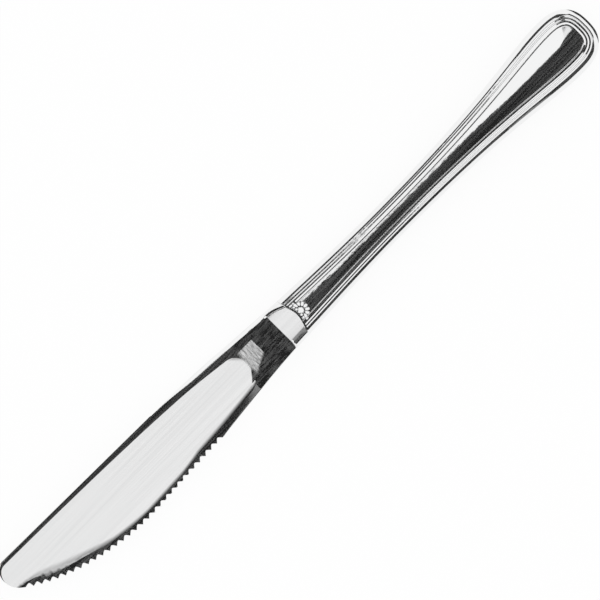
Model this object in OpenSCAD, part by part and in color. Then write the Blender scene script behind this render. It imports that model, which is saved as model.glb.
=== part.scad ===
// Dessert knife with a serrated blade and a hollow reeded handle, lying on its side.
// Millimetres. +X runs from blade to handle end, +Y is the spine side, +Z is up.

/* [Knife] */
// Length from the blade's tip to the handle's end
overall_length = 206; // [196:1:216]
// Length of blade and bolster, from the tip to the handle's mouth
blade_length = 100.5; // [97:0.5:104]

/* [Blade] */
// Distance from the handle's mouth to the heel of the cutting edge
heel_distance = 35.2; // [32:0.1:38]
// Depth of the heel below the handle's axis
heel_drop = 8.7; // [8:0.1:9.3]
// Distance from the handle's mouth to the deepest part of the edge
belly_distance = 61.7; // [56:0.1:68]
// Depth of the deepest part of the edge below the handle's axis
belly_drop = 9.9; // [9.3:0.1:11]
// Height of the spine above the handle's axis at the heel
spine_at_heel = 8.2; // [7.4:0.1:8.8]
// Height of the spine above the handle's axis at the tip
spine_at_tip = 9.05; // [8.4:0.05:9.8]
// Length of the rounded corner at the top of the tip
tip_round = 3.2; // [2:0.1:5]
// Height of the foremost point above the handle's axis
nose_height = 5.2; // [4.2:0.1:6.2]
// Thickness of the ground blade at the spine, at the heel
spine_thickness = 2.5; // [2.3:0.05:2.7]
// Angle between each ground face and the blade's middle plane
grind_angle = 1.7; // [1.5:0.05:1.9]
// Lengthwise thinning of each ground face towards the tip
taper_angle = 0.4; // [0.2:0.02:0.5]
// Radius of the run-out where the grind ends at the neck
runout_radius = 16; // [13:1:20]
// Distance from the handle's mouth to the start of that run-out
runout_distance = 18.5; // [17:0.5:21]
// Width of the crowned band that the grind leaves along the spine, at the neck
band_at_neck = 2.9; // [2.4:0.1:3.3]
// Width of that band at the tip
band_at_tip = 0.9; // [0.6:0.1:1.2]
// Width of the chamfer along the spine side of the neck
shoulder_width = 1.05; // [0.8:0.05:1.3]

/* [Teeth] */
// Spacing of the teeth along the edge
tooth_pitch = 2.15; // [1.8:0.05:2.8]
// Depth of each notch between two teeth
tooth_depth = 0.9; // [0.6:0.05:1.1]
// Width of the flat on each tooth's point
tooth_flat = 0.1; // [0.06:0.01:0.2]

/* [Bolster] */
// Width of bolster and handle where they meet
mouth_width = 11.9; // [11.2:0.1:12.6]
// Thickness of bolster and handle where they meet
mouth_thickness = 7; // [6.6:0.1:7.4]
// Length of the level collar before the neck starts to thin
collar_length = 5.5; // [4:0.1:6.5]
// Thinning of each face of the neck, per millimetre of its length
neck_slope = 0.15; // [0.14:0.005:0.165]
// Depth of the dark joint line around the bolster
joint_line = 0.2; // [0.1:0.05:0.3]

/* [Handle] */
// Width of the handle at its waist
waist_width = 9.7; // [9.2:0.1:10.4]
// Thickness of the handle at its waist
waist_thickness = 6.2; // [6:0.1:6.8]
// Distance from the mouth to the waist
waist_distance = 34; // [28:1:40]
// Width of the handle near its end
end_width = 17.2; // [15:0.1:19]
// Thickness of the handle near its end
end_thickness = 7; // [6.6:0.1:7.6]
// Length of the rounded end
end_round = 10.3; // [8.5:0.1:12]
// Squareness of the rounded end, where 2 is an ellipse
end_squareness = 2.55; // [2.2:0.05:3]

/* [Border] */
// Width of the rounded flank around the handle
flank_width = 2.55; // [2.3:0.05:2.7]
// Width of each fine reed inside the flank
reed_width = 0.62; // [0.55:0.01:0.68]
// Height of each fine reed above its grooves
reed_height = 0.08; // [0.06:0.01:0.11]
// Width of the groove inside the reeds
groove_width = 0.5; // [0.4:0.05:0.55]
// Depth of the groove below the reeds' tops
groove_depth = 0.12; // [0.1:0.01:0.15]
// Width of the cove that falls from the groove to the panel
cove_width = 0.55; // [0.45:0.05:0.65]
// Depth of the panel's edge below the reeds' tops
panel_sink = 0.3; // [0.2:0.05:0.4]
// Radius of the panel's hollow near the handle's end
panel_radius = 25; // [22:1:40]
// Radius of the panel's hollow in the narrow half of the handle
neck_panel_radius = 80; // [60:5:100]

/* [Inside the handle] */
// Thickness of the pressed shells
shell_wall = 0.8; // [0.6:0.05:0.9]
// Height of the braze fillet on each shell
braze_height = 0.8; // [0.5:0.05:1]
// Reach of the braze fillet into the hollow
braze_reach = 0.5; // [0.3:0.05:0.8]
// Length of the spigot inside the handle's mouth
spigot_length = 5; // [4.8:0.1:7]
// Clearance between spigot and shells
spigot_gap = 0.1; // [0.05:0.01:0.2]
// Length of the tang, from the handle's mouth
tang_length = 58; // [45:1:70]
// Width of the tang at its root
tang_width = 5; // [4:0.1:5.6]
// Width of the tang at its end
tang_end_width = 3.6; // [2.5:0.1:4]
// Thickness of the tang
tang_thickness = 2.4; // [2:0.1:2.8]

/* [Ornament] */
// Distance from the handle's mouth to the middle of the fan of petals
palmette_distance = 1.5; // [1.4:0.05:1.6]
// Distance from there to the middle of each petal
petal_reach = 2.15; // [2.05:0.05:2.25]
// Half length of each petal
petal_length = 0.55; // [0.5:0.05:0.6]
// Half width of each petal
petal_width = 0.5; // [0.45:0.01:0.53]
// Height of each petal and bead
petal_height = 0.25; // [0.15:0.05:0.3]
// Angle between neighbouring petals
petal_step = 30; // [28:1:32]
// Radius of each bead in the row at the palmette's foot
bead_radius = 0.36; // [0.32:0.02:0.4]
// Spacing of the beads
bead_step = 0.9; // [0.84:0.02:1]
// Distance from the handle's mouth to the row of beads
beads_at = 0.75; // [0.7:0.05:0.9]

/* [Hidden] */
handle_length = overall_length - blade_length;
wide_x = handle_length - end_round;
reeds_end = flank_width + 2 * reed_width;
cove_at = reeds_end + groove_width;
border_width = cove_at + cove_width;
top_y = max(spine_at_tip, end_width / 2);
bottom_y = max(belly_drop, end_width / 2);
blade_width = spine_at_tip + belly_drop;
half_height = max(mouth_thickness, end_thickness, waist_thickness) / 2;
to_origin = [(blade_length - handle_length) / 2, (bottom_y - top_y) / 2, half_height];
steel = [0.78, 0.79, 0.80];
braze_colour = [0.80, 0.68, 0.42];
cement_colour = [0.62, 0.60, 0.56];

// Curves

function mix(a, b, t) = a + (b - a) * t;
function ease(t) = t * t * (3 - 2 * t);
function clamp(v, lo, hi) = min(max(v, lo), hi);
function between(v, start, end) = ease(clamp((v - start) / (end - start), 0, 1));
function quarter_round(t) = sqrt(1 - pow(1 - clamp(t, 0, 1), 2));
function bezier(p, t) =
    pow(1 - t, 3) * p[0] + 3 * pow(1 - t, 2) * t * p[1] + 3 * (1 - t) * t * t * p[2] + pow(t, 3) * p[3];

// Parameter at which a curve reaches a given x, found by halving
function bezier_at(p, x, lo = 0, hi = 1, n = 26) =
    n == 0 ? (lo + hi) / 2 :
    bezier(p, (lo + hi) / 2)[0] < x ? bezier_at(p, x, (lo + hi) / 2, hi, n - 1) :
    bezier_at(p, x, lo, (lo + hi) / 2, n - 1);

// Handle: plan outline and thickness

mouth_point = [0, mouth_width / 2];
waist_point = [waist_distance, waist_width / 2];
wide_point = [wide_x, end_width / 2];
flare = wide_x - waist_distance;
mouth_to_waist = [mouth_point, mouth_point + [10.5, -0.52], waist_point - [11.5, 0], waist_point];
waist_to_end = [waist_point, waist_point + [0.64 * flare, 0], wide_point - [0.167 * flare, 0], wide_point];

function half_width(x) =
    x < waist_distance ? bezier(mouth_to_waist, bezier_at(mouth_to_waist, x))[1] :
    bezier(waist_to_end, bezier_at(waist_to_end, x))[1];
function half_thickness(x) =
    x < waist_distance ? mix(waist_thickness, mouth_thickness, pow(1 - x / waist_distance, 2)) / 2 :
    mix(waist_thickness, end_thickness, between(x, waist_distance, wide_x)) / 2;

// Rows run round the handle from the mouth on the spine side to the mouth on the edge side.
// Each row is [outline point, inward direction, point on the axis, border scale, half thickness].

carved_rows = 17;
plain_rows = 15;
palmette_margin = 0.3;
palmette_radius = petal_reach + palmette_margin;
carved_end = palmette_distance + palmette_radius + palmette_margin;
side_stations = [
    for (k = [0 : carved_rows - 1]) carved_end * k / (carved_rows - 1),
    for (k = [0 : plain_rows - 1]) mix(spigot_length, wide_x, k / (plain_rows - 1))
];
end_steps = 18;
side_count = len(side_stations);
row_count = 2 * side_count + end_steps - 1;

border_power = 0.4;
function side_row(x, s) = [
    [x, s * half_width(x)],
    [0, -s],
    [x, 0],
    pow(half_width(x) / (end_width / 2), border_power),
    half_thickness(x)
];
function power(v, e) = sign(v) * pow(abs(v), e);
function end_point(a) = [
    wide_x + end_round * power(cos(a), 2 / end_squareness),
    end_width / 2 * power(sin(a), 2 / end_squareness)
];
function end_normal(p) =
    let (
        u = pow((p[0] - wide_x) / end_round, end_squareness - 1) / end_round,
        v = power(p[1] / (end_width / 2), end_squareness - 1) / (end_width / 2)
    )
    [u, v] / norm([u, v]);
function end_row(a) = [end_point(a), -end_normal(end_point(a)), [wide_x, 0], 1, end_thickness / 2];

handle_rows = [
    for (x = side_stations) side_row(x, 1),
    for (k = [1 : end_steps - 1]) end_row(90 - 180 * k / end_steps),
    for (k = [side_count - 1 : -1 : 0]) side_row(side_stations[k], -1)
];

// Rows of the hollow behind the spigot
hollow_rows = [for (k = [carved_rows : row_count - 1 - carved_rows]) handle_rows[k]];

// Depth of the panel's hollow on a row, which deepens along the flare and stays the same all round the end
hollow_from = waist_distance + 0.46 * flare;
hollow_to = waist_distance + 0.78 * flare;
function hollow_radius(x) = mix(neck_panel_radius, panel_radius, between(x, hollow_from, hollow_to));
function dish(row) =
    let (reach = abs(row[0][1]) - border_width * row[3])
    row[0][0] > wide_x ? dish(side_row(wide_x, 1)) : reach * reach / (2 * hollow_radius(row[0][0]));

// Outer section as [distance from the outline, height]: flank, two reeds, groove, cove, panel's edge
flank_turn = 16.8;
cove_bend = 0.76;
function outer_border(row) =
    let (
        top = row[4],
        depth = row[3],
        fall = panel_sink - groove_depth
    )
    [
        for (k = [0 : 5]) [flank_width * (1 - cos(flank_turn * k)), top * sin(flank_turn * k)],
        [flank_width, top - depth * reed_height],
        for (r = [0, 1])
            for (k = [1 : 3])
                [flank_width + (r + k / 3) * reed_width, top - depth * reed_height * (1 - sin(60 * k))],
        [reeds_end + groove_width / 2, top - depth * groove_depth],
        for (t = [0, 0.5, 1])
            [cove_at + cove_width * t, top - depth * (groove_depth + fall * t * (1 + cove_bend * (1 - t)))]
    ];

// Inner section: level wall for the braze, then a dome under flank and reeds
dome_inset = 0.3;
function inner_border(row, wall) =
    let (dome = row[4] - groove_depth * row[3] - wall)
    [
        [wall, 0],
        [wall, braze_height],
        for (k = [1 : 3])
            [wall + (flank_width - dome_inset) * (1 - cos(30 * k)), mix(braze_height, dome, sin(30 * k))],
        [border_width, row[4] - panel_sink * row[3] - wall]
    ];

// Palmette: a fan of seven petals and a row of five beads on a sunk ground
petal_top = 0.7;
petal_foot = 1.2;
ground_share = 0.4;
blobs = [
    for (k = [-2 : 2]) [beads_at, k * bead_step, 0, bead_radius, bead_radius],
    for (k = [-3 : 3])
        let (turn = k * petal_step)
        [palmette_distance + petal_reach * cos(turn), petal_reach * sin(turn), turn, petal_length, petal_width]
];
function blob_share(x, y, blob) =
    let (
        along = (x - blob[0]) * cos(blob[2]) + (y - blob[1]) * sin(blob[2]),
        across = (y - blob[1]) * cos(blob[2]) - (x - blob[0]) * sin(blob[2])
    )
    1 - between(norm([along / blob[3], across / blob[4]]), petal_top, petal_foot);
function palmette(x, y) = petal_height * (max([for (blob = blobs) blob_share(x, y, blob)]) - ground_share);
function palmette_share(x, y) =
    (1 - between(norm([x - palmette_distance, y]), palmette_radius, palmette_radius + palmette_margin))
        * between(x, 0, beads_at - bead_radius);
function carved(p, level) = [p[0], p[1], mix(p[2], level + palmette(p[0], p[1]), palmette_share(p[0], p[1]))];

plain_steps = [0.33, 0.67];
carved_steps = [for (k = [1 : 7]) k / 8];
function spot(row, b, z) = let (p = row[0] + row[1] * b * row[3]) [p[0], p[1], z];
function panel_level(row, sink) = row[4] - panel_sink * row[3] - sink;
function section(row, border, sink, steps) =
    let (
        level = panel_level(row, sink),
        edge = spot(row, border_width, level),
        middle = [row[2][0], row[2][1], level],
        points = [
            for (b = border) spot(row, b[0], b[1]),
            for (f = steps) mix(edge, middle, f) - [0, 0, dish(row) * (1 - (1 - f) * (1 - f))]
        ]
    )
    [for (p = points) sink > 0 ? p : carved(p, level)];
function middle_spot(row, sink) =
    let (
        level = panel_level(row, sink),
        p = [row[2][0], row[2][1], level - dish(row)]
    )
    sink > 0 ? p : carved(p, level);

// Numbering of a skin of rows: ring points first, then one shared point per axis station
function axis_index(i, count, sides) = min(i, count - 1 - i, sides - 1);
function at(i, j, count, rings, sides) =
    j < rings ? i * rings + j : count * rings + axis_index(i, count, sides);
function quad(a, b, c, d) = [
    if (a != b) [a, b, c],
    if (c != d) [a, c, d]
];
function skin(count, rings, sides, first, flip) = [
    for (i = [0 : count - 2])
        for (j = [0 : rings - 1])
            let (
                a = at(i, j, count, rings, sides) + first,
                b = at(i + 1, j, count, rings, sides) + first,
                c = at(i + 1, j + 1, count, rings, sides) + first,
                d = at(i, j + 1, count, rings, sides) + first
            )
            for (f = quad(a, b, c, d)) flip ? [f[2], f[1], f[0]] : f
];

// Pressed half shell with its rim on the plane z = 0
module half_shell() {
    outer = [for (r = handle_rows) section(r, outer_border(r), 0, carved_steps)];
    inner = [for (r = handle_rows) section(r, inner_border(r, shell_wall), shell_wall, plain_steps)];
    rings = len(outer[0]);
    inner_rings = len(inner[0]);
    first = row_count * rings + side_count;
    points = [
        for (s = outer) for (p = s) p,
        for (k = [0 : side_count - 1]) middle_spot(handle_rows[k], 0),
        for (s = inner) for (p = s) p,
        for (k = [0 : side_count - 1]) middle_spot(handle_rows[k], shell_wall)
    ];
    rim = [
        for (i = [0 : row_count - 2])
            for (
                f = quad(
                    first + at(i, 0, row_count, inner_rings, side_count),
                    first + at(i + 1, 0, row_count, inner_rings, side_count),
                    at(i + 1, 0, row_count, rings, side_count),
                    at(i, 0, row_count, rings, side_count)
                )
            ) f
    ];
    mouth = [
        for (i = [0, row_count - 1])
            let (
                loop = [
                    for (j = [0 : rings]) at(i, j, row_count, rings, side_count),
                    for (j = [inner_rings : -1 : 0]) first + at(i, j, row_count, inner_rings, side_count)
                ]
            )
            i == 0 ? loop : [for (k = [len(loop) - 1 : -1 : 0]) loop[k]]
    ];
    polyhedron(
        points,
        concat(
            skin(row_count, rings, side_count, 0, false),
            skin(row_count, inner_rings, side_count, first, true),
            rim,
            mouth
        )
    );
}

// Solid that fills a stretch of the hollow, the same above and below the plane z = 0
module filling(rows, sides, borders, sink) {
    sections = [for (k = [0 : len(rows) - 1]) section(rows[k], borders[k], sink, plain_steps)];
    count = len(rows);
    rings = len(sections[0]);
    first = count * rings + sides;
    points = [
        for (s = sections) for (p = s) p,
        for (k = [0 : sides - 1]) middle_spot(rows[k], sink),
        for (s = sections) for (p = s) [p[0], p[1], -p[2]],
        for (k = [0 : sides - 1]) let (p = middle_spot(rows[k], sink)) [p[0], p[1], -p[2]]
    ];
    mouth = [
        for (j = [0 : rings]) at(0, j, count, rings, sides),
        for (j = [rings - 1 : -1 : 0]) at(count - 1, j, count, rings, sides),
        for (j = [1 : rings]) first + at(count - 1, j, count, rings, sides),
        for (j = [rings - 1 : -1 : 1]) first + at(0, j, count, rings, sides)
    ];
    lower = [
        for (f = skin(count, rings, sides, first, true))
            [for (v = f) v < first + count * rings && (v - first) % rings == 0 ? v - first : v]
    ];
    polyhedron(points, concat(skin(count, rings, sides, 0, false), lower, [mouth]));
}

// Blade: plan outline as a spine side and an edge side that meet at the nose

heel_spine = [-heel_distance - 2, spine_at_heel];
heel = [-heel_distance, -heel_drop];
belly = [-belly_distance, -belly_drop];
chin = [2.1 - blade_length, nose_height - 4.4];
nose = [-blade_length, nose_height];
tip_corner = [tip_round - blade_length, spine_at_tip];

neck_spine = [mouth_point, mouth_point + [-12, 0.6], heel_spine + [11, -0.15], heel_spine];
neck_edge = [[0, -mouth_width / 2], [-10, -mouth_width / 2 - 0.1], heel + [11.2, 1.2], heel];
heel_to_belly = [heel, heel + [-8.8, -0.25], belly + [6.7, 0.15], belly];
belly_to_chin = [belly, belly + [-15.2, 0], chin + [7.1, -6.05], chin];
chin_to_nose = [chin, chin + [-1.15, 0.98], nose - [0, 1.9], nose];

function tip_arc(t) = [
    tip_corner[0] - tip_round * sin(90 * t),
    nose_height + (spine_at_tip - nose_height) * cos(90 * t)
];

collar_blend = 2;
neck_reach = [for (p = neck_spine) [-p[0], p[1]]];
collar_part = bezier_at(neck_reach, collar_length);
blend_part = bezier_at(neck_reach, collar_length + collar_blend);
neck_parts = [
    for (k = [0 : 3]) collar_part * k / 3,
    for (k = [1 : 4]) mix(collar_part, blend_part, k / 4),
    for (k = [1 : 14]) mix(blend_part, 1, k / 14)
];
heel_steps = 10;
belly_steps = 17;
tip_steps = 7;

// Pairs of points across the blade, from the bolster to just short of the nose
belly_share = (belly_distance - heel_distance) / (blade_length - heel_distance);
blade_pairs = [
    for (t = neck_parts) [bezier(neck_spine, t), bezier(neck_edge, t)],
    for (k = [1 : heel_steps])
        let (t = k / heel_steps)
        [mix(heel_spine, tip_corner, t * belly_share), bezier(heel_to_belly, t)],
    for (k = [1 : belly_steps])
        let (t = k / belly_steps)
        [mix(heel_spine, tip_corner, mix(belly_share, 1, t)), bezier(belly_to_chin, t)],
    for (k = [1 : tip_steps - 1]) [tip_arc(k / tip_steps), bezier(chin_to_nose, k / tip_steps)]
];

// Half thickness of the flat ground faces, and with their run-out at the neck
function flat_face(x, y) =
    spine_thickness / 2 + tan(grind_angle) * (y - spine_at_heel) + tan(taper_angle) * (x - heel_spine[0]);
function ground_face(x, y) =
    let (d = clamp(x + runout_distance, 0, 0.98 * runout_radius))
    flat_face(x, y) + runout_radius - sqrt(runout_radius * runout_radius - d * d);

// Rounding of the blade towards its edge as [x, width] and [x, depth], and the bevel on the teeth
leaf_end = -runout_distance - 1.5;
heel_end = -heel_distance + 7;
before_heel = -heel_distance - 10;
past_belly = -belly_distance - 13;
edge_widths = [
    [-blade_length, 3.2],
    [past_belly, 2.2],
    [before_heel, 2.2],
    [-heel_distance, 2.6],
    [heel_end, 1.6],
    [leaf_end, 2.2]
];
edge_depths = [
    [-blade_length, 0],
    [-blade_length + 5.5, 0.36],
    [past_belly, 0.3],
    [before_heel, 0.3],
    [-heel_distance, 0.65],
    [leaf_end, 0.7],
    [leaf_end + 5, 0]
];
bevel_width = 0.32;
bevel_slope = 0.75;
least_half = 0.06;
function toothed(x) = between(x, past_belly, past_belly + 10) - between(x, before_heel + 5, -heel_distance);
function edge_rounding(x, b) =
    let (curl = mix(2, 1.2, between(x, -heel_distance, heel_end)))
    lookup(x, edge_depths) * pow(max(0, 1 - b / lookup(x, edge_widths)), curl)
        + bevel_slope * max(0, bevel_width - b) * toothed(x);

// Forged blank: a crowned section that thins along the neck, with a chamfered spine and a rounded edge
crown_low = 0.5;
crown_high = 0.67 * mouth_width;
neck_crown = 0.0123;
edge_crown = 0.016;
collar_crown = 0.0022;
collar_flank = flank_width * pow(mouth_width / end_width, border_power);
function at_collar(x) = between(x, -collar_length - collar_blend, -collar_length);
function at_tip(x) = 1 - between(x, -blade_length + 1.5, -blade_length + 3.5);
function crown_y(x) = mix(crown_low, crown_high, between(x, leaf_end, -collar_length));
function crown_curve(x, y) =
    y > crown_y(x) ? mix(neck_crown, collar_crown, at_collar(x)) :
    between(x, leaf_end - 6, leaf_end + 3)
        * mix(edge_crown, collar_crown, between(x, leaf_end - 2, -collar_length));
band_growth = 2.5;
function band_width(x) =
    let (along = clamp((x + blade_length) / (leaf_end + blade_length), 0, 1.2))
    mix(band_at_tip, band_at_neck, pow(along, band_growth));
function forged_height(x, spine_y) =
    let (
        band_y = spine_y - band_width(x),
        at_neck = mouth_thickness / 2 - neck_slope * max(0, -x - collar_length),
        at_blade = flat_face(x, band_y) + neck_crown * pow(band_y - crown_low, 2)
    )
    min(max(at_neck, at_blade), mouth_thickness / 2);
spine_chamfer = 0.15;
tip_chamfer = 0.35;
edge_land = 0.08;
neck_edge_round = 0.4;
function shoulder(x) =
    mix(mix(spine_chamfer, tip_chamfer, at_tip(x)), shoulder_width, between(x, before_heel, before_heel + 8));
function edge_round(x) =
    mix(
        mix(edge_land, tip_chamfer, at_tip(x)),
        mix(neck_edge_round, collar_flank, at_collar(x)),
        between(x, -heel_distance, heel_end)
    );
grind_margin = 0.02;
edge_share = 0.9;
function blank_half(p, spine_y, from_spine, from_edge) =
    let (
        x = p[0],
        y = p[1],
        forged = forged_height(x, spine_y) - crown_curve(x, y) * pow(y - crown_y(x), 2),
        inside = max(0, from_edge - edge_share * lookup(x, edge_widths)),
        ground = ground_face(x, y) + grind_margin + inside - edge_rounding(x, from_edge),
        chamfered = clamp(from_spine / shoulder(x), 0, 1)
    )
    max(least_half, min(forged, ground))
        * mix(chamfered, quarter_round(from_spine / collar_flank), at_collar(x))
        * quarter_round(from_edge / edge_round(x));

// Closed section of the blank between two outline points, drawn in by an inset
spine_parts = [0, 0.07, 0.25, 0.55, 1];
inner_parts = [0.2, 0.4, 0.6, 0.8];
edge_parts = [1, 0.55, 0.25, 0.1, 0.03, 0];
function blank_loop(pair, inset) =
    let (
        across = norm(pair[1] - pair[0]),
        way = (pair[1] - pair[0]) / across,
        x = pair[0][0],
        top = min(mix(shoulder(x), collar_flank, at_collar(x)), across / 4),
        low = min(lookup(pair[1][0], edge_widths), across / 3),
        reach = [
            for (f = spine_parts) f * top,
            for (f = inner_parts) mix(top, across - low, f),
            for (f = edge_parts) across - f * low
        ],
        upper = [
            for (b = reach)
                let (
                    half = blank_half(pair[0] + way * b, pair[0][1], b, across - b),
                    p = pair[0] + way * mix(inset, across - inset, b / across)
                )
                [p[0], p[1], half * (1 - 2 * inset / mouth_thickness)]
        ],
        last = len(upper) - 1
    )
    concat(upper, [for (k = [last - 1 : -1 : 1]) [upper[k][0], upper[k][1], -upper[k][2]]]);

module blade_blank() {
    shift = [[-joint_line, 0], [-joint_line, 0]];
    loops = [
        blank_loop(blade_pairs[0], joint_line),
        blank_loop(blade_pairs[0] + shift, 0),
        for (k = [1 : len(blade_pairs) - 1]) blank_loop(blade_pairs[k], 0)
    ];
    n = len(loops[0]);
    last = len(loops) - 1;
    points = concat([for (l = loops) for (p = l) p], [[nose[0], nose[1], 0]]);
    sides = [
        for (i = [0 : last - 1])
            for (j = [0 : n - 1])
                let (
                    a = i * n + j,
                    b = i * n + (j + 1) % n
                )
                for (f = quad(a, b, b + n, a + n)) f
    ];
    point_end = [for (j = [0 : n - 1]) [last * n + j, last * n + (j + 1) % n, (last + 1) * n]];
    polyhedron(points, concat(sides, point_end, [[for (j = [n - 1 : -1 : 0]) j]]));
}

// Volume that the grinding wheel takes off the front face, with its round run-out at the neck
module face_grind() {
    translate([-runout_distance, spine_at_heel, flat_face(-runout_distance, spine_at_heel)])
        rotate([grind_angle, 0, 0])
            rotate([0, -taper_angle, 0]) {
                translate([-blade_length, -2 * blade_width, 0])
                    cube([blade_length, 3 * blade_width, mouth_thickness]);
                translate([0, blade_width, runout_radius])
                    rotate([90, 0, 0])
                        cylinder(r = runout_radius, h = 3 * blade_width, $fn = 96);
            }
}

// Cutting edge: points along it, the length run so far, and places at even spacing
edge_points = [
    for (k = [0 : heel_steps]) bezier(heel_to_belly, k / heel_steps),
    for (k = [1 : belly_steps]) bezier(belly_to_chin, k / belly_steps)
];
function run(k) = k == 0 ? 0 : run(k - 1) + norm(edge_points[k] - edge_points[k - 1]);
edge_runs = [for (k = [0 : len(edge_points) - 1]) run(k)];
edge_length = edge_runs[len(edge_runs) - 1];
tooth_count = floor(edge_length / tooth_pitch);

function stretch(s, k = 1) = k == len(edge_runs) - 1 || edge_runs[k] > s ? k : stretch(s, k + 1);
function edge_way(s) =
    let (k = stretch(s))
    (edge_points[k] - edge_points[k - 1]) / norm(edge_points[k] - edge_points[k - 1]);
function edge_spot(s) = let (k = stretch(s)) edge_points[k] - edge_way(s) * (edge_runs[k] - s);

// Notch between two teeth: straight sides that meet in a slightly rounded gullet
gullet_round = 0.3;
notch_parts = [-1.3, -0.5, -0.2, 0, 0.2, 0.5, 1.3];
function notch_depth(u) =
    let (rim = norm([1, gullet_round]))
    tooth_depth * (rim - norm([u, gullet_round])) / (rim - gullet_round);
module notch(s) {
    way = edge_way(s);
    spot = edge_spot(s);
    half = (tooth_pitch - tooth_flat) / 2;
    translate([spot[0], spot[1], 0])
        rotate([0, 0, atan2(way[1], way[0])])
            linear_extrude(height = 2 * spine_thickness, center = true)
                polygon([for (u = notch_parts) [half * u, -notch_depth(u)]]);
}

// Flat tapered tang
module tang(from) {
    linear_extrude(height = tang_thickness, center = true)
        polygon([
            [from, -tang_width / 2],
            [tang_length, -tang_end_width / 2],
            [tang_length, tang_end_width / 2],
            [from, tang_width / 2]
        ]);
}

// Spigot that fills the handle's mouth up to the clearance, with its root inside the bolster
spigot_root = 0.6;
module spigot() {
    wall = shell_wall + spigot_gap;
    first = side_row(0, 1);
    last = side_row(0, -1);
    rows = [
        [first[0] - [spigot_root, 0], first[1], first[2] - [spigot_root, 0], first[3], first[4]],
        side_row(spigot_length, 1),
        side_row(spigot_length, -1),
        [last[0] - [spigot_root, 0], last[1], last[2] - [spigot_root, 0], last[3], last[4]]
    ];
    filling(rows, 2, [for (r = rows) inner_border(r, wall)], wall);
}

module placed() {
    translate(to_origin) children();
}

module blade() {
    color(steel) placed() union() {
        difference() {
            blade_blank();
            face_grind();
            mirror([0, 0, 1]) face_grind();
            for (k = [0 : tooth_count - 1]) notch((k + 0.5) * tooth_pitch);
        }
        spigot();
        tang(1);
    }
}

module front_handle_shell() {
    color(steel) placed() half_shell();
}

module back_handle_shell() {
    color(steel) placed() rotate([180, 0, 0]) half_shell();
}

module handle_seam_braze() {
    rows = hollow_rows;
    count = len(rows);
    points = [
        for (r = rows)
            for (p = [[shell_wall, braze_height], [shell_wall, -braze_height], [shell_wall + braze_reach, 0]])
                spot(r, p[0], p[1])
    ];
    sides = [
        for (i = [0 : count - 2])
            for (j = [0 : 2])
                for (f = quad(3 * i + j, 3 * i + (j + 1) % 3, 3 * i + 3 + (j + 1) % 3, 3 * i + 3 + j)) f
    ];
    color(braze_colour) placed()
        polyhedron(points, concat(sides, [[2, 1, 0], [3 * count - 3, 3 * count - 2, 3 * count - 1]]));
}

module handle_cement() {
    rows = hollow_rows;
    borders = [
        for (r = rows)
            let (b = inner_border(r, shell_wall))
            concat([[shell_wall + braze_reach, 0]], [for (k = [1 : len(b) - 1]) b[k]])
    ];
    color(cement_colour) placed() difference() {
        filling(rows, plain_rows, borders, shell_wall);
        tang(1);
    }
}

blade();
front_handle_shell();
back_handle_shell();
handle_seam_braze();
handle_cement();
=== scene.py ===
"""Looks of the dessert knife: smooth steel pieces over the built frame, a studio and a camera."""

import math

import bpy
import numpy as np
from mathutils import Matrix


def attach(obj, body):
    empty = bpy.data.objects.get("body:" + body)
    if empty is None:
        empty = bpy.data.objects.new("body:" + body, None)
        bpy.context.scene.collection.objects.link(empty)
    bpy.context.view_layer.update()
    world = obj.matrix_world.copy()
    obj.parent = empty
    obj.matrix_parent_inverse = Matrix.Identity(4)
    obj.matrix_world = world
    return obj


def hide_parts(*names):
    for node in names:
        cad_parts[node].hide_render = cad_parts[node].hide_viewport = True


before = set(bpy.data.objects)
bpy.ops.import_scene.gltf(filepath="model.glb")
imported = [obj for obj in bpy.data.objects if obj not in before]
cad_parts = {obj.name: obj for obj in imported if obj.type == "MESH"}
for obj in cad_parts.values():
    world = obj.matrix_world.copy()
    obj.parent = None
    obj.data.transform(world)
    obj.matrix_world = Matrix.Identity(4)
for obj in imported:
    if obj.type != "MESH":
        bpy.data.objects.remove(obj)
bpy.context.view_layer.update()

MM = 0.001

# Sizes in millimetres and angles in degrees, the same as those of the built part
OVERALL_LENGTH = 206.0
BLADE_LENGTH = 100.5
HANDLE_LENGTH = OVERALL_LENGTH - BLADE_LENGTH
HEEL_DISTANCE, HEEL_DROP = 35.2, 8.7
BELLY_DISTANCE, BELLY_DROP = 61.7, 9.9
SPINE_AT_HEEL, SPINE_AT_TIP = 8.2, 9.05
TIP_ROUND, NOSE_HEIGHT = 3.2, 5.2
SPINE_THICKNESS = 2.5
GRIND_ANGLE, TAPER_ANGLE = 1.7, 0.4
RUNOUT_RADIUS, RUNOUT_DISTANCE = 16.0, 18.5
BAND_AT_NECK, BAND_AT_TIP = 2.9, 0.9
BEVEL_WIDTH, BEVEL_SLOPE = 0.32, 0.75
TOOTH_PITCH, TOOTH_DEPTH, TOOTH_FLAT, GULLET_ROUND = 2.15, 0.9, 0.1, 0.3
MOUTH_WIDTH, MOUTH_THICKNESS = 11.9, 7.0
COLLAR_LENGTH, NECK_SLOPE, SHOULDER_WIDTH = 5.5, 0.15, 1.05
WAIST_WIDTH, WAIST_THICKNESS, WAIST_DISTANCE = 9.7, 6.2, 34.0
END_WIDTH, END_THICKNESS, END_ROUND, END_SQUARENESS = 17.2, 7.0, 10.3, 2.55
REED_COUNT = 2
GROOVE_WIDTH, COVE_WIDTH, PANEL_SINK = 0.5, 0.55, 0.3
BORDER_POWER = 0.4
PANEL_RADIUS, NECK_PANEL_RADIUS = 25.0, 80.0
SHELL_WALL, SHELL_DOME, BRAZE_HEIGHT = 0.8, 2.25, 0.8
SPIGOT_LENGTH, SPIGOT_GAP = 5.0, 0.1
TANG_LENGTH, TANG_WIDTH, TANG_END_WIDTH, TANG_THICKNESS = 58.0, 5.0, 3.6, 2.4
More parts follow.
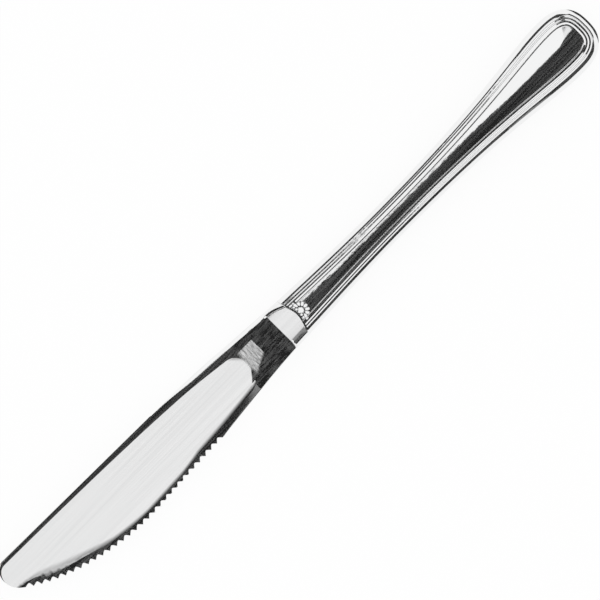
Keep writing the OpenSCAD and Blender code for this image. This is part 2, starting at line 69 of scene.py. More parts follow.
PALMETTE_X, PETAL_STEP, PETAL_HEIGHT = 1.5, 30.0, 0.25
BEAD_RADIUS, BEAD_STEP, BEADS_AT = 0.36, 0.9, 0.75

# Sizes in millimetres of finer forms, which differ a little from the built part's or are only here
JOINT_LINE, JOINT_DEPTH, JOINT_BOW = 0.22, 0.13, 0.6
FLANK_WIDTH, REED_WIDTH, REED_HEIGHT = 1.95, 0.82, 0.09
GROOVE_DEPTH = 0.14
PETAL_REACH, PETAL_LENGTH, PETAL_WIDTH = 1.87, 0.75, 0.42
BOSS_RADIUS = 0.85

# Insets of the edge and of the top faces, which keep the steel within the built part's box
EDGE_INSET, TOP_INSET = 0.015, 0.012

REEDS_END = FLANK_WIDTH + REED_COUNT * REED_WIDTH
COVE_AT = REEDS_END + GROOVE_WIDTH
BORDER_WIDTH = COVE_AT + COVE_WIDTH
WIDE_X = HANDLE_LENGTH - END_ROUND
TO_ORIGIN = np.array([
    (BLADE_LENGTH - HANDLE_LENGTH) / 2,
    (max(BELLY_DROP, END_WIDTH / 2) - max(SPINE_AT_TIP, END_WIDTH / 2)) / 2,
    max(MOUTH_THICKNESS, END_THICKNESS, WAIST_THICKNESS) / 2,
])


# Curves and meshes: angles in degrees from which an edge is sharp, and the face of a four-sided sheet

HANDLE_SHARP, BLADE_SHARP = 38, 30
SHEET_FACE = [(0, 1, 2, 3)]


def mix(a, b, t):
    """Value between a and b, at the share t of the way."""
    return a + (b - a) * t


def ease(t):
    """0 up to 0, 1 from 1 on, and a smooth rise in between."""
    t = np.clip(t, 0, 1)
    return t * t * (3 - 2 * t)


def between(x, start, end):
    """0 before the start and 1 past the end, eased in between."""
    return ease((x - start) / (end - start))


def soft_min(a, b, k):
    """Lower of two heights, with the corner between them rounded over about k."""
    h = np.clip(0.5 + 0.5 * (b - a) / k, 0, 1)
    return mix(b, a, h) - k * h * (1 - h)


def soft_max(a, b, k):
    """Higher of two heights, with the corner between them rounded over about k."""
    return -soft_min(-a, -b, k)


def power(v, e):
    """Power of a value that keeps its sign."""
    return np.sign(v) * np.abs(v) ** e


def bezier(points, t):
    """Points of a cubic curve, given by its start, two handles and its end."""
    p = np.asarray(points, float)
    t = np.asarray(t, float)[..., None]
    return (1 - t) ** 3 * p[0] + 3 * (1 - t) ** 2 * t * p[1] + 3 * (1 - t) * t ** 2 * p[2] + t ** 3 * p[3]


def new_object(name, points, faces):
    """Object with a mesh of its own, linked to the scene."""
    mesh = bpy.data.meshes.new(name)
    mesh.from_pydata(points, [], faces)
    obj = bpy.data.objects.new(name, mesh)
    bpy.context.scene.collection.objects.link(obj)
    return obj


def add_steel(name, points, faces, sharp_angle):
    """Smooth object from points in millimetres about the handle's axis, with sharp edges kept."""
    obj = new_object(name, ((points + TO_ORIGIN) * MM).tolist(), faces)
    mesh = obj.data
    mesh.polygons.foreach_set("use_smooth", np.ones(len(mesh.polygons), bool))
    mesh.set_sharp_from_angle(angle=math.radians(sharp_angle))
    mesh.update()
    return obj


def grid_faces(index, flip=False):
    """Quads over a two-way table of point numbers, with triangles where two points are one."""
    a, b = index[:-1, :-1].ravel(), index[1:, :-1].ravel()
    c, d = index[1:, 1:].ravel(), index[:-1, 1:].ravel()
    faces = []
    for quad in zip(a.tolist(), b.tolist(), c.tolist(), d.tolist()):
        face = list(dict.fromkeys(quad))
        if len(face) > 2:
            faces.append(face[::-1] if flip else face)
    return faces


# Joint between bolster and handle: length of its bow along the knife, and how far back the bow is set

BOW_REACH = 0.8 * SPIGOT_LENGTH
BOW_BACK = 0.25


def bow(points):
    """Bends the joint between bolster and handle into a shallow bow, fading along the knife."""
    x, y = points[..., 0], points[..., 1]
    fade = 1 - ease(np.abs(x) / BOW_REACH)
    shift = JOINT_BOW * np.cos(2 * np.pi * np.clip(y / MOUTH_WIDTH, -0.5, 0.5)) - BOW_BACK * JOINT_BOW
    bent = points.copy()
    bent[..., 0] = x + shift * fade
    return bent


def cut_joint(z, away):
    """Lowers a face into the groove of the joint; away is the distance from the joint."""
    return z - JOINT_DEPTH * np.clip(1 - away / JOINT_LINE, 0, 1) * (z > JOINT_DEPTH)


# Handle: curves of its outline, each by its start, two handles and its end

MOUTH = np.array([0, MOUTH_WIDTH / 2])
WAIST = np.array([WAIST_DISTANCE, WAIST_WIDTH / 2])
WIDE = np.array([WIDE_X, END_WIDTH / 2])
FLARE = WIDE_X - WAIST_DISTANCE
MOUTH_TO_WAIST = [MOUTH, MOUTH + [10.5, -0.52], WAIST - [11.5, 0], WAIST]
WAIST_TO_END = [WAIST, WAIST + [0.64 * FLARE, 0], WIDE - [0.167 * FLARE, 0], WIDE]
MOUTH_CURVE_STEPS, END_CURVE_STEPS = 400, 600
SIDE_CURVE = np.concatenate([
    bezier(MOUTH_TO_WAIST, np.linspace(0, 1, MOUTH_CURVE_STEPS)),
    bezier(WAIST_TO_END, np.linspace(0, 1, END_CURVE_STEPS))[1:],
])

# Numbers of points along the handle, round its end and across the border and the panel
MOUTH_STATIONS, SIDE_STATIONS, END_STEPS = 101, 170, 160
FLANK_STEPS, REED_STEPS, COVE_STEPS, PANEL_STEPS = 41, 12, 13, 61
DOME_STEPS = 7
INNER_PANEL = np.array([0.33, 0.67, 1.0])

# Border: turn of the flank, curves of the reeds and the cove, place of the groove's lowest line,
# and the share of the cove's fall that is left at the mouth
FLANK_TURN = math.radians(78)
REED_CURVE, COVE_CURVE = 1.05, 3
GROOVE_LOW = 0.05
MOUTH_FALL, FALL_DISTANCE = 0.55, 20

# Panel: where its dish deepens, and how much flatter it is at the mouth
DISH_FROM, DISH_RUN = 62, 20
MOUTH_FLATNESS, FLAT_DISTANCE = 1.45, 18

# Palmette: the rims of its petals and ground, and the heights and tilts of both
PETAL_TOP, PETAL_RIM = 0.92, 0.14
GROUND_MARGIN, GROUND_RIM, GROUND_FOOT = 0.3, 0.3, 0.1
GROUND_LOW, GROUND_TILT = 0.4, 0.25
PETAL_HIGH, PETAL_TILT = 0.62, 0.4
BEADS_EACH_WAY, PETALS_EACH_WAY = 2, 3


def half_width(x):
    """Half width of the handle in plan."""
    return np.interp(x, SIDE_CURVE[:, 0], SIDE_CURVE[:, 1])


def half_thickness(x):
    """Half thickness of the handle over its reeds."""
    near = mix(WAIST_THICKNESS, MOUTH_THICKNESS, np.clip(1 - x / WAIST_DISTANCE, 0, 1) ** 2)
    far = mix(WAIST_THICKNESS, END_THICKNESS, ease((x - WAIST_DISTANCE) / FLARE))
    return np.where(x < WAIST_DISTANCE, near, far) / 2 - TOP_INSET


def handle_end():
    """Points of the rounded end between the two sides, and the directions square to it."""
    turn = np.radians(90 - 180 * np.arange(1, END_STEPS) / END_STEPS)
    end = np.stack([
        WIDE_X + END_ROUND * power(np.cos(turn), 2 / END_SQUARENESS),
        END_WIDTH / 2 * power(np.sin(turn), 2 / END_SQUARENESS),
    ], 1)
    outward = np.stack([
        ((end[:, 0] - WIDE_X) / END_ROUND) ** (END_SQUARENESS - 1) / END_ROUND,
        power(end[:, 1] / (END_WIDTH / 2), END_SQUARENESS - 1) / (END_WIDTH / 2),
    ], 1)
    return end, outward / np.linalg.norm(outward, axis=1)[:, None]


def handle_rows(stations):
    """Outline points, inward directions, axis points, border scales and half thicknesses round the handle."""
    w = half_width(stations)
    side = np.stack([stations, w], 1)
    end, outward = handle_end()
    n, m = len(stations), len(end)
    scale = (w / (END_WIDTH / 2)) ** BORDER_POWER
    half = half_thickness(stations)
    return (
        np.concatenate([side, end, side[::-1] * [1, -1]]),
        np.concatenate([np.tile([0, -1.0], (n, 1)), -outward, np.tile([0, 1.0], (n, 1))]),
        np.concatenate([side * [1, 0], np.tile([WIDE_X, 0.0], (m, 1)), side[::-1] * [1, 0]]),
        np.concatenate([scale, np.ones(m), scale[::-1]]),
        np.concatenate([half, np.full(m, END_THICKNESS / 2 - TOP_INSET), half[::-1]]),
    )


def reed_profile():
    """Border rows over the reeds, each highest along its middle."""
    rows = []
    for reed in range(REED_COUNT):
        for k in range(min(reed, 1), REED_STEPS + 1):
            across = FLANK_WIDTH + (reed + k / REED_STEPS) * REED_WIDTH
            drop = REED_HEIGHT * abs(2 * k / REED_STEPS - 1) ** REED_CURVE
            rows.append([across, 1, drop, 0])
    return rows


def border_profile():
    """Distance from the outline, share of the half thickness, carved drop and share of the cove's fall."""
    turn = np.linspace(0, FLANK_TURN, FLANK_STEPS)
    flank = np.stack([
        FLANK_WIDTH * (1 - np.cos(turn)) / (1 - math.cos(FLANK_TURN)),
        np.sin(turn) / math.sin(FLANK_TURN),
        np.zeros(FLANK_STEPS),
        np.zeros(FLANK_STEPS),
    ], 1)
    groove = [[REEDS_END + GROOVE_LOW * GROOVE_WIDTH, 1, GROOVE_DEPTH, 0]]
    step = np.linspace(0, 1, COVE_STEPS)
    cove = np.stack([
        COVE_AT + COVE_WIDTH * step,
        np.ones(COVE_STEPS),
        np.zeros(COVE_STEPS),
        1 - (1 - step) ** COVE_CURVE,
    ], 1)
    return np.concatenate([flank, reed_profile(), groove, cove])


def inner_profile(half):
    """Inside of the border: a level wall at the seam, then a dome under flank and reeds."""
    turn = np.radians(np.linspace(0, 90, DOME_STEPS))
    top = half - GROOVE_DEPTH - SHELL_WALL
    dome = np.stack([
        SHELL_WALL + SHELL_DOME * (1 - np.cos(turn)),
        mix(BRAZE_HEIGHT, top, np.sin(turn)),
    ], 1)
    seam, foot = [[SHELL_WALL, 0]], [[BORDER_WIDTH, half - PANEL_SINK - SHELL_WALL]]
    wall = np.concatenate([seam, dome, foot])
    return np.stack([wall[:, 0], np.zeros(len(wall)), -wall[:, 1], np.zeros(len(wall))], 1)


def cove_fall(x):
    """Depth of the cove, less near the mouth."""
    return PANEL_SINK * mix(MOUTH_FALL, 1, ease(x / FALL_DISTANCE))


def panel_radius(x):
    """Radius of the dish across the panel."""
    radius = mix(NECK_PANEL_RADIUS, PANEL_RADIUS, ease((x - DISH_FROM) / DISH_RUN))
    return radius * mix(MOUTH_FLATNESS, 1, ease(x / FLAT_DISTANCE))


def petal(along, across, length, width):
    """1 on the top of an oval petal and 0 beside it, with steep sides."""
    return 1 - ease((np.hypot(along / length, across / width) - PETAL_TOP) / PETAL_RIM)


def palmette_ground(x, y):
    """1 inside the flat ground of the palmette and 0 round it."""
    out = np.hypot(x - PALMETTE_X, y)
    inside = 1 - ease((out - PETAL_REACH - GROUND_MARGIN) / GROUND_RIM)
    return inside * ease((x - BEADS_AT + BEAD_RADIUS + GROUND_FOOT) / GROUND_FOOT)


def palmette_blobs():
    """Place, turn, length and width of each bead, the boss and each petal."""
    blobs = [
        (BEADS_AT, k * BEAD_STEP, 0, BEAD_RADIUS, BEAD_RADIUS)
        for k in range(-BEADS_EACH_WAY, BEADS_EACH_WAY + 1)
    ]
    blobs.append((PALMETTE_X, 0, 0, BOSS_RADIUS, BOSS_RADIUS))
    for k in range(-PETALS_EACH_WAY, PETALS_EACH_WAY + 1):
        turn = math.radians(k * PETAL_STEP)
        petal_x, petal_y = PALMETTE_X + PETAL_REACH * math.cos(turn), PETAL_REACH * math.sin(turn)
        blobs.append((petal_x, petal_y, turn, PETAL_LENGTH, PETAL_WIDTH))
    return blobs


def palmette(x, y):
    """Height of the fan of petals and the row of beads over their ground, each tipped to the edge side."""
    ground = -PETAL_HEIGHT * (GROUND_LOW + GROUND_TILT * y)
    height = ground
    for blob_x, blob_y, turn, length, width in palmette_blobs():
        along = (x - blob_x) * math.cos(turn) + (y - blob_y) * math.sin(turn)
        across = (y - blob_y) * math.cos(turn) - (x - blob_x) * math.sin(turn)
        top = PETAL_HEIGHT * (PETAL_HIGH + PETAL_TILT * (y - blob_y))
        height = np.maximum(height, mix(ground, top, petal(along, across, length, width)))
    return height


def handle_section(rows, profile, steps, sink):
    """Rings of points from the outline to the panel, then the points on the axis.

    sink is the depth under the outer face, which alone is carved."""
    outline, inward, axis, scale, half = rows
    reach = np.abs(outline[:, 1]) - BORDER_WIDTH * scale
    at_end = (END_WIDTH / 2 - BORDER_WIDTH) ** 2 / (2 * PANEL_RADIUS)
    dish = np.where(outline[:, 0] > WIDE_X, at_end, reach ** 2 / (2 * panel_radius(outline[:, 0])))
    distance = profile[None, :, 0] * scale[:, None]
    border = outline[:, None, :] + inward[:, None, :] * distance[..., None]
    fall = cove_fall(outline[:, 0])
    drop = profile[None, :, 2] + profile[None, :, 3] * fall[:, None]
    border_z = profile[None, :, 1] * half[:, None] - drop * scale[:, None]
    level = half - fall * scale - sink
    edge = outline + inward * (BORDER_WIDTH * scale)[:, None]
    share = steps[None, :, None]
    panel = edge[:, None, :] * (1 - share) + axis[:, None, :] * share
    panel_z = level[:, None] - dish[:, None] * (1 - (1 - steps[None, :]) ** 2)
    plan = np.concatenate([border, panel], 1)
    z = np.concatenate([border_z, panel_z], 1)
    if sink == 0:
        x, y = plan[..., 0], plan[..., 1]
        carved = (half - PANEL_SINK * scale)[:, None] + palmette(x, y)
        z = cut_joint(mix(z, carved, palmette_ground(x, y)), x)
    return bow(np.concatenate([plan, z[..., None]], 2))


def section_index(rows, sides, rings, first):
    """Point numbers of a section whose last ring lies on the axis, shared by both sides."""
    index = first + np.arange(rows * rings).reshape(rows, rings)
    k = np.arange(rows)
    index[:, -1] = index[np.minimum(np.minimum(k, rows - 1 - k), sides - 1), -1]
    return index


def handle_shell(name, side):
    """Half shell of the handle; side is 1 for the front and -1 for the back."""
    stations = np.concatenate([
        np.linspace(0, SPIGOT_LENGTH, MOUTH_STATIONS),
        np.linspace(SPIGOT_LENGTH, WIDE_X, SIDE_STATIONS)[1:],
    ])
    rows = handle_rows(stations)
    half = rows[-1]
    count, sides = len(half), len(stations)
    outer = handle_section(rows, border_profile(), np.linspace(0, 1, PANEL_STEPS)[1:], 0)
    inner = np.stack([
        handle_section([row[k:k + 1] for row in rows], inner_profile(half[k]), INNER_PANEL, SHELL_WALL)[0]
        for k in range(count)
    ])
    outer_index = section_index(count, sides, outer.shape[1], 0)
    inner_index = section_index(count, sides, inner.shape[1], outer.shape[0] * outer.shape[1])
    points = np.concatenate([outer.reshape(-1, 3), inner.reshape(-1, 3)])
    faces = grid_faces(outer_index, True) + grid_faces(inner_index)
    faces += grid_faces(np.stack([outer_index[:, 0], inner_index[:, 0]], 1))
    first, last = (np.concatenate([outer_index[k], inner_index[k][::-1]]).tolist() for k in (0, -1))
    faces += [first, last[::-1]]
    if side < 0:
        points = points * [1, 1, -1]
        faces = [face[::-1] for face in faces]
    return add_steel(name, points, faces, HANDLE_SHARP)


# Blade: curves of its outline, each by its start, two handles and its end

HEEL_LEAN = 2
CHIN_BACK, CHIN_DROP = 2.1, 4.4
HEEL_SPINE = np.array([-HEEL_DISTANCE - HEEL_LEAN, SPINE_AT_HEEL])
HEEL = np.array([-HEEL_DISTANCE, -HEEL_DROP])
BELLY = np.array([-BELLY_DISTANCE, -BELLY_DROP])
CHIN = np.array([CHIN_BACK - BLADE_LENGTH, NOSE_HEIGHT - CHIN_DROP])
NOSE = np.array([-BLADE_LENGTH, NOSE_HEIGHT])
TIP_CORNER = np.array([TIP_ROUND - BLADE_LENGTH, SPINE_AT_TIP])
NECK_SPINE = [MOUTH, MOUTH + [-12, 0.6], HEEL_SPINE + [11, -0.15], HEEL_SPINE]
NECK_EDGE = [MOUTH * [1, -1], MOUTH * [1, -1] + [-10, -0.1], HEEL + [11.2, 1.2], HEEL]
HEEL_TO_BELLY = [HEEL, HEEL + [-8.8, -0.25], BELLY + [6.7, 0.15], BELLY]
BELLY_TO_CHIN = [BELLY, BELLY + [-15.2, 0], CHIN + [7.1, -6.05], CHIN]
CHIN_TO_NOSE = [CHIN, CHIN + [-1.15, 0.98], NOSE - [0, 1.9], NOSE]

# Points of the blade: their numbers along its curves and across it, and how they are spaced
HEEL_CURVE_STEPS, BELLY_CURVE_STEPS, NOTCH_STEPS = 600, 900, 25
JOINT_SHARE, JOINT_STATIONS, NECK_STATIONS, TIP_STATIONS = 0.02, 12, 220, 60
MARGIN_REACH, MARGIN_DIVISOR, MARGIN_ROWS, MARGIN_CURVE = 2.8, 3, 36, 1.8
MIDDLE_ROWS = 102
WAY_STEP = 0.05

# Ground face: bowl of its run-out, bevel of the teeth, and the rounding along the edge,
# by its widths and drops at places along the knife and its fade at the nose
BOWL_TO_SPINE, BOWL_TO_EDGE = 0.14, 0.11
RUNOUT_FROM, RUNOUT_LIMIT = -30, 0.98
BEVEL_FADE, BEVEL_HEEL_FADE = (-67, -61), 5
EDGE_X = (-93, -88, -82, -73, -62, -45, -35, -28)
EDGE_WIDTHS = (4.8, 4.6, 4.2, 2.7, 2.2, 2.2, 2.2, 2.2)
EDGE_DROPS = (0.32, 0.36, 0.4, 0.38, 0.36, 0.3, 0.15, 0)
NOSE_FADE = (-1, 2)

# Crowned top of the blank: heights and curves of its crown, band along the spine, slope at the heel
MOUTH_TOP = MOUTH_THICKNESS / 2 - TOP_INSET
LEAF_END = -20
CROWN_LOW, CROWN_HIGH = 0.5, 0.67 * MOUTH_WIDTH
SPINE_CROWN, EDGE_CROWN, COLLAR_CROWN = 0.0123, 0.016, 0.0022
EDGE_CROWN_FROM = -22
BAND_REACH, BAND_CURVE = 1.2, 3
HEEL_SLOPE, HEEL_SLOPE_Y, HEEL_SLOPE_X, HEEL_SLOPE_RUN = 0.2, -2.5, -42, 8
CROWN_BLEND = 0.01

# Sides of the blank: collar, spine shoulder and the rounding at the edge
COLLAR_BLEND, COLLAR_OVERLAP, COLLAR_STEP = 2, 0.3, 0.4
RIM_AT_NECK, RIM_AT_JOINT, RIM_CURVE = 0.7, 1.9, 0.6
DIP_SLOPE, DIP_WIDTH = 0.55, 0.7
TIP_FADE_START, TIP_FADE_END = 1.5, 3.5
SPINE_CHAMFER, TIP_CHAMFER = 0.15, 0.2
SHOULDER_FADE = (-43, -28)
EDGE_LAND, TIP_LAND = 0.08, 0.3
NECK_EDGE_ROUND, COLLAR_EDGE_ROUND = 0.4, 2.6
HEEL_FADE = (-35, -31)
EDGE_CURVE = 2.5
LEAST_HEIGHT = 0.1

# Rounding where the ground face meets the blank, on the spine side and on the edge side
SPINE_BLEND, EDGE_BLEND = 0.03, 0.12
BLEND_FADE = (3, 5)

# Spigot: more room round it in width, and half its height
SPIGOT_INSET, SPIGOT_HALF_HEIGHT = 0.1, 2.0


def ground_plane(x, y):
    """Half thickness of the flat ground face."""
    across = math.tan(math.radians(GRIND_ANGLE)) * (y - SPINE_AT_HEEL)
    return SPINE_THICKNESS / 2 + across + math.tan(math.radians(TAPER_ANGLE)) * (x - HEEL_SPINE[0])


def ground_face(x, y, from_edge):
    """Ground face with its bowl-shaped run-out at the neck and its rounding along the edge."""
    bowl = np.where(y > 0, BOWL_TO_SPINE, BOWL_TO_EDGE) * y ** 2
    d = np.clip(x + RUNOUT_DISTANCE + bowl, 0, RUNOUT_RADIUS * RUNOUT_LIMIT)
    runout = RUNOUT_RADIUS - np.sqrt(RUNOUT_RADIUS ** 2 - d ** 2)
    width = np.interp(x, EDGE_X, EDGE_WIDTHS)
    near_edge = np.maximum(0, 1 - from_edge / width) ** 2
    below_nose = 1 - between(y, *NOSE_FADE)
    rounding = np.interp(x, EDGE_X, EDGE_DROPS) * near_edge * below_nose
    at_teeth = between(x, *BEVEL_FADE) - between(x, -HEEL_DISTANCE - BEVEL_HEEL_FADE, -HEEL_DISTANCE)
    bevel = BEVEL_SLOPE * np.maximum(0, BEVEL_WIDTH - from_edge) * at_teeth
    return ground_plane(x, y) + np.where(x > RUNOUT_FROM, runout, 0) - rounding - bevel


def neck_top(x, y, at_collar):
    """Half thickness of the crowned neck, which falls from the collar to the blade."""
    crown_y = mix(CROWN_LOW, CROWN_HIGH, between(x, LEAF_END, -COLLAR_LENGTH))
    spine_curve = mix(SPINE_CROWN, COLLAR_CROWN, at_collar)
    edge_curve = mix(EDGE_CROWN, COLLAR_CROWN, between(x, EDGE_CROWN_FROM, -COLLAR_LENGTH))
    height = MOUTH_TOP - NECK_SLOPE * np.maximum(0, -x - COLLAR_LENGTH)
    return height - np.where(y < crown_y, edge_curve, spine_curve) * (y - crown_y) ** 2


def blade_top(x, y, spine_y):
    """Half thickness of the forged blade, crowned to the spine and sloped at the heel."""
    reach = (x + BLADE_LENGTH) / (BLADE_LENGTH + LEAF_END)
    band_y = spine_y - mix(BAND_AT_TIP, BAND_AT_NECK, np.clip(reach, 0, BAND_REACH) ** BAND_CURVE)
    height = ground_plane(x, band_y) + SPINE_CROWN * (band_y - CROWN_LOW) ** 2
    crowned = height - SPINE_CROWN * np.maximum(0, y - CROWN_LOW) ** 2
    below = HEEL_SLOPE_Y - y - np.maximum(0, HEEL_SLOPE_X - x) / HEEL_SLOPE_RUN
    return crowned - HEEL_SLOPE * np.maximum(0, below)


def blank(x, y, spine_y, from_spine, from_edge):
    """Half thickness of the forged blank: a crowned section with a chamfered spine and a rounded edge."""
    at_collar = between(x, -COLLAR_LENGTH - COLLAR_BLEND, -COLLAR_LENGTH + COLLAR_OVERLAP)
    at_tip = 1 - between(x, -BLADE_LENGTH + TIP_FADE_START, -BLADE_LENGTH + TIP_FADE_END)
    at_step = between(x, -COLLAR_LENGTH - COLLAR_STEP, -COLLAR_LENGTH + COLLAR_STEP)
    rim = mix(RIM_AT_NECK, RIM_AT_JOINT, np.clip(1 + x / COLLAR_LENGTH, 0, 1) ** 2)
    dip = DIP_SLOPE * at_collar * np.clip(rim + DIP_WIDTH - from_spine, 0, DIP_WIDTH)
    crowned = soft_max(neck_top(x, y, at_collar), blade_top(x, y, spine_y), CROWN_BLEND)
    top = np.minimum(crowned, MOUTH_TOP) - dip
    shoulder = mix(SPINE_CHAMFER + TIP_CHAMFER * at_tip, SHOULDER_WIDTH, between(x, *SHOULDER_FADE))
    spine_share = np.clip(from_spine / mix(shoulder, rim, at_collar), 0, 1)
    spine_side = spine_share ** mix(1, RIM_CURVE, at_collar)
    neck_round = mix(NECK_EDGE_ROUND, COLLAR_EDGE_ROUND, at_step)
    edge_round = mix(EDGE_LAND + TIP_LAND * at_tip, neck_round, between(x, *HEEL_FADE))
    edge_share = np.clip(from_edge / edge_round, 0, 1)
    edge_side = (1 - (1 - edge_share) ** EDGE_CURVE) ** (1 / EDGE_CURVE)
    return np.maximum(top, LEAST_HEIGHT) * spine_side * edge_side


def along_path(path, run, distance):
    """Points at given distances along a path; run is the distance at each of its points."""
    return np.stack([np.interp(distance, run, path[:, 0]), np.interp(distance, run, path[:, 1])], 1)


def tooth_columns():
    """Edge points, inward directions, cut depths and shares of the way along the serrated edge."""
    path = np.concatenate([
        bezier(HEEL_TO_BELLY, np.linspace(0, 1, HEEL_CURVE_STEPS)),
        bezier(BELLY_TO_CHIN, np.linspace(0, 1, BELLY_CURVE_STEPS))[1:],
    ])
    run = np.concatenate([[0], np.cumsum(np.linalg.norm(np.diff(path, axis=0), axis=1))])
    count = int(run[-1] / TOOTH_PITCH)
    half = (TOOTH_PITCH - TOOTH_FLAT) / 2
    local = np.linspace(-half, half, NOTCH_STEPS)
    s = np.concatenate([(k + 0.5) * TOOTH_PITCH + local for k in range(count)])
    rim = np.hypot(1, GULLET_ROUND)
    notch = (rim - np.hypot(local / half, GULLET_ROUND)) / (rim - GULLET_ROUND)
    depth = np.tile(TOOTH_DEPTH * notch, count)
    way = along_path(path, run, s + WAY_STEP) - along_path(path, run, s - WAY_STEP)
    way /= np.linalg.norm(way, axis=1)[:, None]
    inward = np.stack([way[:, 1], -way[:, 0]], 1)
    return along_path(path, run, s), inward, depth, s / run[-1]


def blade_rails():
    """Spine points, edge points and depths of the notches there, from bolster to nose."""
    t = np.concatenate([
        np.linspace(0, JOINT_SHARE, JOINT_STATIONS),
        np.linspace(JOINT_SHARE, 1, NECK_STATIONS)[1:],
    ])
    neck_spine, neck_edge = bezier(NECK_SPINE, t), bezier(NECK_EDGE, t)
    point, inward, depth, share = tooth_columns()
    straight_spine = HEEL_SPINE + (TIP_CORNER - HEEL_SPINE) * share[:, None]
    t = np.linspace(0, 1, TIP_STATIONS)[1:-1]
    turn = t * math.pi / 2
    tip_spine = np.stack([
        TIP_CORNER[0] - TIP_ROUND * np.sin(turn),
        NOSE_HEIGHT + (SPINE_AT_TIP - NOSE_HEIGHT) * np.cos(turn),
    ], 1)
    tip_edge = bezier(CHIN_TO_NOSE, t)
    spine = np.concatenate([neck_spine, straight_spine, tip_spine])
    edge = np.concatenate([neck_edge, point + inward * (depth + EDGE_INSET)[:, None], tip_edge])
    cut = np.concatenate([np.zeros(len(neck_edge)), depth, np.zeros(len(tip_edge))])
    return spine, edge, cut


def across_steps(across):
    """Distances from the spine at which the blade's rows are set, closest at both sides."""
    reach = np.minimum(MARGIN_REACH, across / MARGIN_DIVISOR)
    margin = np.linspace(0, 1, MARGIN_ROWS) ** MARGIN_CURVE
    middle = np.linspace(0, 1, MIDDLE_ROWS)[None, 1:-1]
    return np.concatenate([
        reach * margin[None, :],
        mix(reach, across - reach, middle),
        across - reach * margin[None, ::-1],
    ], 1)


def tang_rings(mouth):
    """Rings of the spigot and the tang, in the shape of the mouth's ring, to the tang's end."""
    spigot = (MOUTH_WIDTH / 2 - SHELL_WALL - SPIGOT_GAP - SPIGOT_INSET, SPIGOT_HALF_HEIGHT)
    root, end = (TANG_WIDTH / 2, TANG_THICKNESS / 2), (TANG_END_WIDTH / 2, TANG_THICKNESS / 2)
    rings = []
    for x, (width, height) in (
        (0, spigot),
        (SPIGOT_LENGTH, spigot),
        (SPIGOT_LENGTH, root),
        (TANG_LENGTH, end),
    ):
        ring = mouth * [0, width / (MOUTH_WIDTH / 2), height / (MOUTH_THICKNESS / 2)]
        rings.append(ring + [x, 0, 0])
    return np.stack(rings)


def blade_face():
    """Points of the blade's front face, in rows from the bolster to the nose."""
    spine, edge, cut = blade_rails()
    across = np.linalg.norm(edge - spine, axis=1)[:, None]
    from_spine = across_steps(across)
    from_edge = across - from_spine
    share = (from_spine / across)[..., None]
    plan = spine[:, None, :] * (1 - share) + edge[:, None, :] * share
    x, y = plan[..., 0], plan[..., 1]
    forged = blank(x, y, spine[:, 1:], from_spine, from_edge)
    ground = ground_face(x, y, from_edge + cut[:, None])
    blend = mix(SPINE_BLEND, EDGE_BLEND, between(-y, *BLEND_FADE))
    half = cut_joint(np.maximum(0, soft_min(forged, ground, blend)), -x)
    half[:, 0] = 0
    half[:, -1] = 0
    return np.stack([x, y, half], 2)


def blade_mesh():
    """Blade in one piece: both faces, the point at the nose, the spigot and the tang."""
    face = blade_face()
    n, m = face.shape[:2]
    upper = face.reshape(-1, 3)
    index = np.arange(n * m).reshape(n, m)
    under = index + n * m
    under[:, -1] = index[:, -1]
    under[:, 0] = index[:, 0]
    tip = 2 * n * m
    mouth = np.concatenate([index[0][::-1], under[0][1:-1]])
    both = np.concatenate([upper, upper * [1, 1, -1]])
    rings = tang_rings(both[mouth])
    points = bow(np.concatenate([both, [[NOSE[0], NOSE[1], 0]], rings.reshape(-1, 3)]))
    faces = grid_faces(index) + grid_faces(under, True)
    rim = np.concatenate([index[-1], under[-1][-2:0:-1]]).tolist()
    faces += [[rim[k], rim[(k + 1) % len(rim)], tip] for k in range(len(rim))]
    ring_index = tip + 1 + np.arange(len(rings) * len(mouth)).reshape(len(rings), -1)
    tang = np.concatenate([mouth[None], ring_index])
    faces += grid_faces(np.concatenate([tang, tang[:, :1]], 1))
    faces.append(tang[-1].tolist())
    return add_steel("blade_steel_piece", points, faces, BLADE_SHARP)


# Materials: each grain by its cycles per metre, its detail and its stretch along each axis

POLISHED_LINES = 420, 1, (0.05, 5, 5)
POLISHED_WAVES = 420, 2, (1.2, 2, 2)
BRUSHED_LINES = 420, 2, (0.05, 5, 5)
PATCH_MARKS = 420, 6, (7, 1.2, 2)
BRAZE_GRAIN = 900, 5, (1, 1, 1)
CEMENT_GRAIN = 1200, 8, (1, 1, 1)

# Range of the grain that is used, and the height of the polishing lines beside that of the waves
GRAIN_LOW, GRAIN_HIGH = 0.3, 0.7
LINE_SHARE = 0.1

# Colours of each material at its darkest and palest
POLISHED_COLOURS = (0.88, 0.882, 0.884), (0.91, 0.911, 0.912)
BRUSHED_COLOURS = (0.85, 0.852, 0.854), (0.94, 0.941, 0.942)
BRAZE_COLOURS = (0.70, 0.58, 0.34), (0.84, 0.72, 0.46)
CEMENT_COLOURS = (0.50, 0.48, 0.44), (0.68, 0.66, 0.62)

# Roughness and shine at the low and the high end of each grain
POLISHED_ROUGHNESS, POLISHED_SHINE = (0.025, 0.045), (1.0, 0.93)
BRUSHED_ROUGHNESS, BRUSHED_SHINE = (0.03, 0.07), (1.02, 0.92)
PATCH_ROUGHNESS, PATCH_SHINE = (0.32, 0.6), (0.8, 0.3)
BRAZE_ROUGHNESS, CEMENT_ROUGHNESS = (0.3, 0.5), (0.8, 0.95)

# Depths of the grain in metres
POLISHED_DEPTH, BRUSHED_DEPTH, BRAZE_DEPTH, CEMENT_DEPTH = 3.5e-6, 3e-7, 4e-5, 1e-4

# Rough patch at the neck, in metres: its ends, its upper side, and its lower side along a slant
PATCH_BLADE_END, PATCH_COLLAR_END = (-0.0206, -0.0190), (-0.01486, -0.01506)
PATCH_UPPER, PATCH_LOWER, PATCH_SLANT = (0.00425, 0.00395), (0.0072, 0.0082), 0.533


